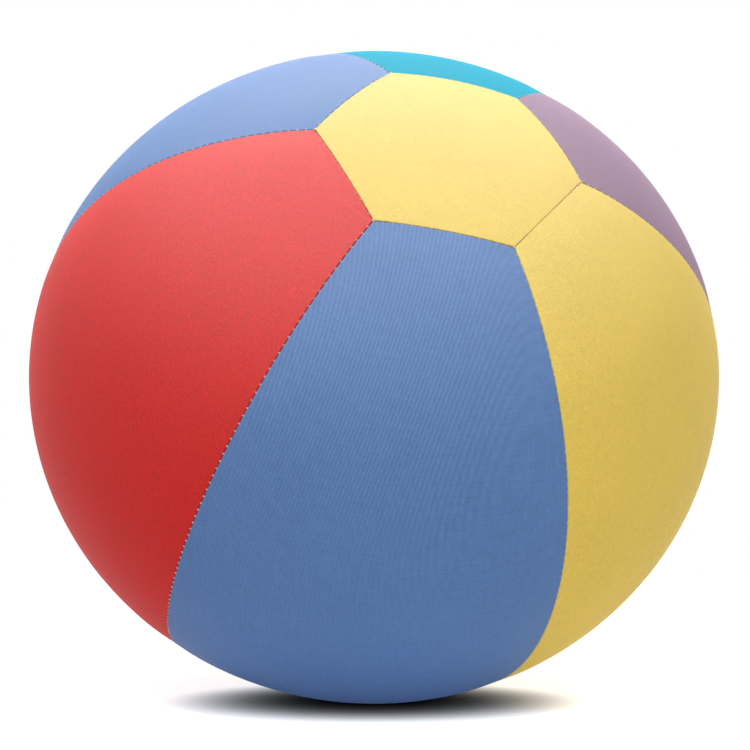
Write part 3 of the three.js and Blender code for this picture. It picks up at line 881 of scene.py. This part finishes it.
def fill(tree, node, inputs):
    """Sets a node's inputs. Each value is plain, or another node's output."""
    for socket, value in inputs.items():
        if isinstance(value, bpy.types.NodeSocket):
            tree.links.new(value, node.inputs[socket])
        else:
            node.inputs[socket].default_value = value


def add_node(tree, kind, inputs, **settings):
    """A new shader node with its settings and its inputs."""
    node = tree.nodes.new(f"ShaderNode{kind}")
    for name, value in settings.items():
        setattr(node, name, value)
    fill(tree, node, inputs)
    return node


def math_node(tree, operation, *values):
    """A Math node's output. Each value is a number or another node's output."""
    return add_node(tree, "Math", dict(enumerate(values)), operation=operation).outputs[0]


def node_group(name, inputs, output):
    """An empty shader node group, with its input node and its output node."""
    group = bpy.data.node_groups.new(name, "ShaderNodeTree")
    group.interface.new_socket("Vector", in_out="INPUT", socket_type="NodeSocketVector")
    for socket in inputs:
        group.interface.new_socket(socket, in_out="INPUT", socket_type="NodeSocketFloat")
    group.interface.new_socket(output, in_out="OUTPUT", socket_type="NodeSocketFloat")
    given = group.nodes.new("NodeGroupInput").outputs
    return group, given, group.nodes.new("NodeGroupOutput")


def weave_group():
    """Cloth with a rib in each thread along V and finer threads that cross it, on a UV map that counts
    threads. Height runs from 0 between ribs to 1 on top of them."""
    group, given, out = node_group("ribbed_weave", ["Crossing"], "Height")
    split = add_node(group, "SeparateXYZ", {0: given["Vector"]})
    waves = []
    for axis in ("X", "Y"):
        turn = math_node(group, "MULTIPLY", split.outputs[axis], math.pi)
        waves.append(math_node(group, "ABSOLUTE", math_node(group, "SINE", turn)))
    steep = math_node(group, "MULTIPLY_ADD", waves[0], RIB_STEEPNESS, -RIB_START)
    rib = math_node(group, "MAXIMUM", math_node(group, "MINIMUM", steep, 1.0), 0.0)
    low = math_node(group, "MULTIPLY", math_node(group, "SUBTRACT", waves[1], 1.0), given["Crossing"])
    height = math_node(group, "MULTIPLY", rib, math_node(group, "ADD", low, 1.0))
    fill(group, out, {"Height": height})


def slub_group():
    """Uneven yarn: long soft streaks along both thread directions of a UV map that counts threads."""
    group, given, out = node_group("uneven_yarn", ["Amount"], "Tone")
    streaks = []
    for across, along in STREAKS:
        mapping = add_node(group, "Mapping", {"Vector": given["Vector"], "Scale": (across, along, 1)})
        inputs = {"Vector": mapping.outputs[0], "Scale": 1, "Detail": STREAK_DETAIL}
        noise = add_node(group, "TexNoise", inputs)
        streaks.append(math_node(group, "SUBTRACT", noise.outputs[0], 0.5))
    both = math_node(group, "ADD", *streaks)
    fill(group, out, {"Tone": math_node(group, "MULTIPLY_ADD", both, given["Amount"], 1.0)})


def mottle_group():
    """Slow, faint changes of tone over a piece and the fine grain of its fibres, both about 1."""
    group, given, out = node_group("mottle", [layer[0] for layer in MOTTLE_LAYERS], "Tone")
    tone = 1.0
    for socket, scale, detail in MOTTLE_LAYERS:
        inputs = {"Vector": given["Vector"], "Scale": scale, "Detail": detail}
        noise = add_node(group, "TexNoise", inputs)
        shade = math_node(group, "SUBTRACT", noise.outputs[0], 0.5)
        tone = math_node(group, "MULTIPLY_ADD", shade, given[socket], tone)
    fill(group, out, {"Tone": tone})


def new_material(name):
    """A material's node tree and its shader."""
    material = bpy.data.materials.new(name)
    material.use_nodes = True
    return material.node_tree, material.node_tree.nodes["Principled BSDF"]


def placed_group(tree, name, vector, **values):
    """The output of a shared group in a material, with its own values."""
    node = tree.nodes.new("ShaderNodeGroup")
    node.node_tree = bpy.data.node_groups[name]
    fill(tree, node, {"Vector": vector, **values})
    return node.outputs[0]


def tinted(tree, colour, tone):
    """A plain colour times a tone that changes over the surface."""
    return add_node(tree, "VectorMath", {0: colour, "Scale": tone}, operation="SCALE").outputs[0]


def bump(tree, height, distance, strength):
    inputs = {"Height": height, "Distance": distance, "Strength": strength}
    return add_node(tree, "Bump", inputs).outputs[0]


def object_place(tree):
    return tree.nodes.new("ShaderNodeTexCoord").outputs["Object"]


def rib_fade(tree, place):
    """How strong the ribs' tone and its painted shade are, from 1 down to nearly none towards the floor."""
    split = add_node(tree, "SeparateXYZ", {0: place})
    height = math_node(tree, "MULTIPLY_ADD", split.outputs["X"], RIB_FADE_SLANT, split.outputs["Z"])
    inputs = {"Value": height, "From Min": RIB_FADE_LOW, "From Max": RIB_FADE_HIGH, "To Min": FADED_RIB_SHARE}
    return add_node(tree, "MapRange", inputs, interpolation_type="SMOOTHSTEP").outputs["Result"]


def cloth_material(colour, gloss_share, rib_share, grain_share):
    tree, shader = new_material(f"ball_cloth_{colour}")
    finish = bpy.context.scene.ball_finish
    threads = add_node(tree, "UVMap", {}, uv_map="cloth").outputs[0]
    place = object_place(tree)
    weave_and_gap_shade = placed_group(tree, "ribbed_weave", threads, Crossing=CROSSING)
    contrast = math_node(tree, "MULTIPLY", rib_fade(tree, place), finish.weave_and_gap_shade * rib_share)
    # Painted shade: the tone is darkest in the gaps between ribs and lightest on top of them
    ribs = math_node(tree, "MULTIPLY_ADD", math_node(tree, "SUBTRACT", weave_and_gap_shade, RIB_MEAN), contrast, 1.0)
    slubs = placed_group(tree, "uneven_yarn", threads, Amount=finish.slubs)
    mottle = placed_group(tree, "mottle", place, Amount=finish.mottle, Grain=finish.fuzz * grain_share)
    tone = math_node(tree, "MULTIPLY", ribs, math_node(tree, "MULTIPLY", slubs, mottle))
    inputs = {
        "Base Color": tinted(tree, getattr(finish, colour), tone),
        "Roughness": finish.roughness,
        "Specular IOR Level": finish.gloss * gloss_share,
    }
    fill(tree, shader, inputs)


def thread_material():
    """Two plies of yarn, twisted together."""
    tree, shader = new_material("ball_thread")
    finish = bpy.context.scene.ball_finish
    plies_per_metre = 900
    contrast = 0.12
    darkest = 0.9
    ply_depth = 0.05 * MM
    ply_strength = 0.6
    inputs = {"Vector": object_place(tree), "Scale": plies_per_metre}
    plies = add_node(tree, "TexWave", inputs, bands_direction="DIAGONAL").outputs["Fac"]
    tone = math_node(tree, "MULTIPLY_ADD", plies, contrast, darkest)
    inputs = {
        "Base Color": tinted(tree, finish.thread, tone),
        "Normal": bump(tree, plies, ply_depth, ply_strength),
        "Roughness": 0.55,
        "Specular IOR Level": finish.gloss,
    }
    fill(tree, shader, inputs)


def latex_material():
    """Thin latex, which lets a little light through."""
    tree, shader = new_material("ball_latex")
    finish = bpy.context.scene.ball_finish
    mottling = 0.12
    unevenness = 0.2 * MM
    uneven_strength = 0.3
    tone = placed_group(tree, "mottle", object_place(tree), Amount=mottling, Grain=0.0)
    inputs = {
        "Base Color": tinted(tree, finish.latex, tone),
        "Normal": bump(tree, tone, unevenness, uneven_strength),
        "Roughness": 0.35,
        "Subsurface Weight": 0.2,
        "Subsurface Radius": (4 * MM, 3 * MM, 2 * MM),
    }
    fill(tree, shader, inputs)


class AddMaterials(bpy.types.Operator):
    """Adds the cloths, the thread and the latex, and the node groups that they share"""

    bl_idname = "balloon_ball.add_materials"
    bl_label = "Add materials"

    def execute(self, context):
        weave_group()
        slub_group()
        mottle_group()
        for colour, shares in CLOTHS.items():
            cloth_material(colour, *shares)
        thread_material()
        latex_material()
        return {"FINISHED"}


def seen_directly(tree):
    """1 for rays that show a thing itself: from the camera, in a reflection or through glass."""
    path = tree.nodes.new("ShaderNodeLightPath").outputs
    mirrored = math_node(tree, "MAXIMUM", path["Is Glossy Ray"], path["Is Transmission Ray"])
    return math_node(tree, "MAXIMUM", path["Is Camera Ray"], mirrored)


def floor_material():
    """White to the camera, with a painted shadow that is darkest close under the ball, and a glow for other
    rays that lights the ball from below.
    """
    stage = bpy.context.scene.ball_stage
    tree, shader = new_material("floor")
    tree.nodes.remove(shader)
    near = add_node(tree, "AmbientOcclusion", {"Distance": stage.shadow_reach}, samples=32)
    inputs = {"Value": near.outputs["AO"], "From Max": stage.shadow_rim}
    light = add_node(tree, "MapRange", inputs, interpolation_type="SMOOTHSTEP").outputs["Result"]
    seen = seen_directly(tree)
    lost = math_node(tree, "MULTIPLY", math_node(tree, "SUBTRACT", 1.0, light), seen)
    grey = tinted(tree, (stage.floor_tone,) * 3, math_node(tree, "SUBTRACT", 1.0, lost))
    matte = add_node(tree, "BsdfDiffuse", {"Color": grey})
    lit = math_node(tree, "MULTIPLY", light, stage.floor_glow)
    # Rays that see the floor directly get the white glow with the painted shadow; every other ray sees the
    # floor glowing with floor_fill, painted light that lights the ball from below.
    extra = math_node(tree, "MULTIPLY", seen, math_node(tree, "SUBTRACT", lit, stage.floor_fill))
    glow = add_node(tree, "Emission", {"Strength": math_node(tree, "ADD", extra, stage.floor_fill)})
    both = add_node(tree, "AddShader", {0: matte.outputs[0], 1: glow.outputs[0]})
    fill(tree, tree.nodes["Material Output"], {"Surface": both.outputs[0]})


def add_floor():
    bm = bmesh.new()
    bmesh.ops.create_grid(bm, x_segments=1, y_segments=1, size=bpy.context.scene.ball_stage.floor_size)
    floor = bpy.data.objects.new("floor", mesh_from(bm, "floor"))
    bpy.context.scene.collection.objects.link(floor)
    floor_material()
    floor.data.materials.append(bpy.data.materials["floor"])


def add_lamp(name, strength, lean, spread):
    lamp = bpy.data.lights.new(name, "SUN")
    lamp.energy = strength
    lamp.angle = spread
    holder = bpy.data.objects.new(name, lamp)
    holder.rotation_euler.x = lean
    bpy.context.scene.collection.objects.link(holder)
    return holder


def add_light():
    """A soft lamp, an overhead light that shows nearly only as the cloth's gloss, and a plain sky."""
    stage = bpy.context.scene.ball_stage
    add_lamp("key", stage.lamp, stage.lamp_lean, stage.lamp_spread)
    overhead = add_lamp("overhead", stage.shine, stage.shine_lean, stage.shine_spread)
    overhead.visible_diffuse = False
    world = bpy.data.worlds.new("studio")
    world.use_nodes = True
    tree = world.node_tree
    strength = math_node(tree, "MULTIPLY_ADD", seen_directly(tree), 1 - stage.sky, stage.sky)
    fill(tree, tree.nodes["Background"], {"Color": (1, 1, 1, 1), "Strength": strength})
    bpy.context.scene.world = world


def add_camera():
    stage = bpy.context.scene.ball_stage
    middle = Vector((0, 0, sizes().height * flat_share() / (1 + flat_share())))
    back = Vector((0, -math.cos(stage.elevation), -math.sin(stage.elevation)))
    lens = bpy.data.cameras.new("camera")
    lens.lens = stage.lens
    lens.shift_x, lens.shift_y = stage.shift
    lens.clip_start = 10 * MM
    camera = bpy.data.objects.new("camera", lens)
    camera.location = middle + back * stage.distance
    camera.rotation_euler = (-back).to_track_quat("-Z", "Y").to_euler()
    bpy.context.scene.collection.objects.link(camera)
    bpy.context.scene.camera = camera


class AddStage(bpy.types.Operator):
    """Adds the pale floor, the soft light and the camera"""

    bl_idname = "balloon_ball.add_stage"
    bl_label = "Add stage"

    def execute(self, context):
        add_floor()
        add_light()
        add_camera()
        context.scene.view_settings.view_transform = "Standard"
        return {"FINISHED"}


STEPS = (
    AddStage,
    AddMaterials,
    AddBalloon,
    AddGores,
    AddTopCap,
    AddClosure,
    AddSeamStitches,
    AddHemStitches,
)
GROUPS = {
    "ball_sizes": BallSizes,
    "ball_sewing": SewingSizes,
    "ball_closure": ClosureSizes,
    "ball_balloon": BalloonSizes,
    "ball_lay": ClothLay,
    "ball_lay_front": ClothLay,
    "ball_lay_red": ClothLay,
    "ball_finish": Finish,
    "ball_stage": StageSizes,
    "ball_facets": Facets,
}


class BalloonBallPanel(bpy.types.Panel):
    """Lists the steps that make the ball, and its sizes"""

    bl_idname = "VIEW3D_PT_balloon_ball"
    bl_label = "Balloon ball"
    bl_space_type = "VIEW_3D"
    bl_region_type = "UI"
    bl_category = "Balloon ball"

    def draw(self, context):
        for step in STEPS:
            self.layout.operator(step.bl_idname)
        for group, kind in GROUPS.items():
            for name in kind.__annotations__:
                self.layout.prop(getattr(context.scene, group), name)


def register():
    for kind in dict.fromkeys(GROUPS.values()):
        bpy.utils.register_class(kind)
    for group, kind in GROUPS.items():
        setattr(bpy.types.Scene, group, PointerProperty(type=kind))
    for kind in (*STEPS, BalloonBallPanel):
        bpy.utils.register_class(kind)


def unregister():
    for kind in (BalloonBallPanel, *reversed(STEPS)):
        bpy.utils.unregister_class(kind)
    for group in GROUPS:
        delattr(bpy.types.Scene, group)
    for kind in dict.fromkeys(GROUPS.values()):
        bpy.utils.unregister_class(kind)


def lay_two_panels():
    """The front gore and the red one are cut off the grain, and are stretched unevenly."""
    front = bpy.context.scene.ball_lay_front
    front.spacing = 0.4298 * MM
    front.grain = math.radians(-2.392)
    front.spread = 2.3172
    front.fan = 0.4524
    front.bow = 2.4024
    front.flare = 5.241
    front.curl = 7.515
    red = bpy.context.scene.ball_lay_red
    red.spacing = 0.2306 * MM
    red.grain = math.radians(-73.1)
    red.spread = 2.76
    red.fan = -0.786
    red.bow = -1.195


def main():
    register()
    lay_two_panels()
    bpy.ops.balloon_ball.add_stage()
    bpy.ops.balloon_ball.add_materials()
    bpy.ops.balloon_ball.add_balloon()
    bpy.ops.balloon_ball.add_gores()
    bpy.ops.balloon_ball.add_top_cap()
    bpy.ops.balloon_ball.add_closure()
    bpy.ops.balloon_ball.add_seam_stitches()
    bpy.ops.balloon_ball.add_hem_stitches()


if __name__ == "__main__":
    main()
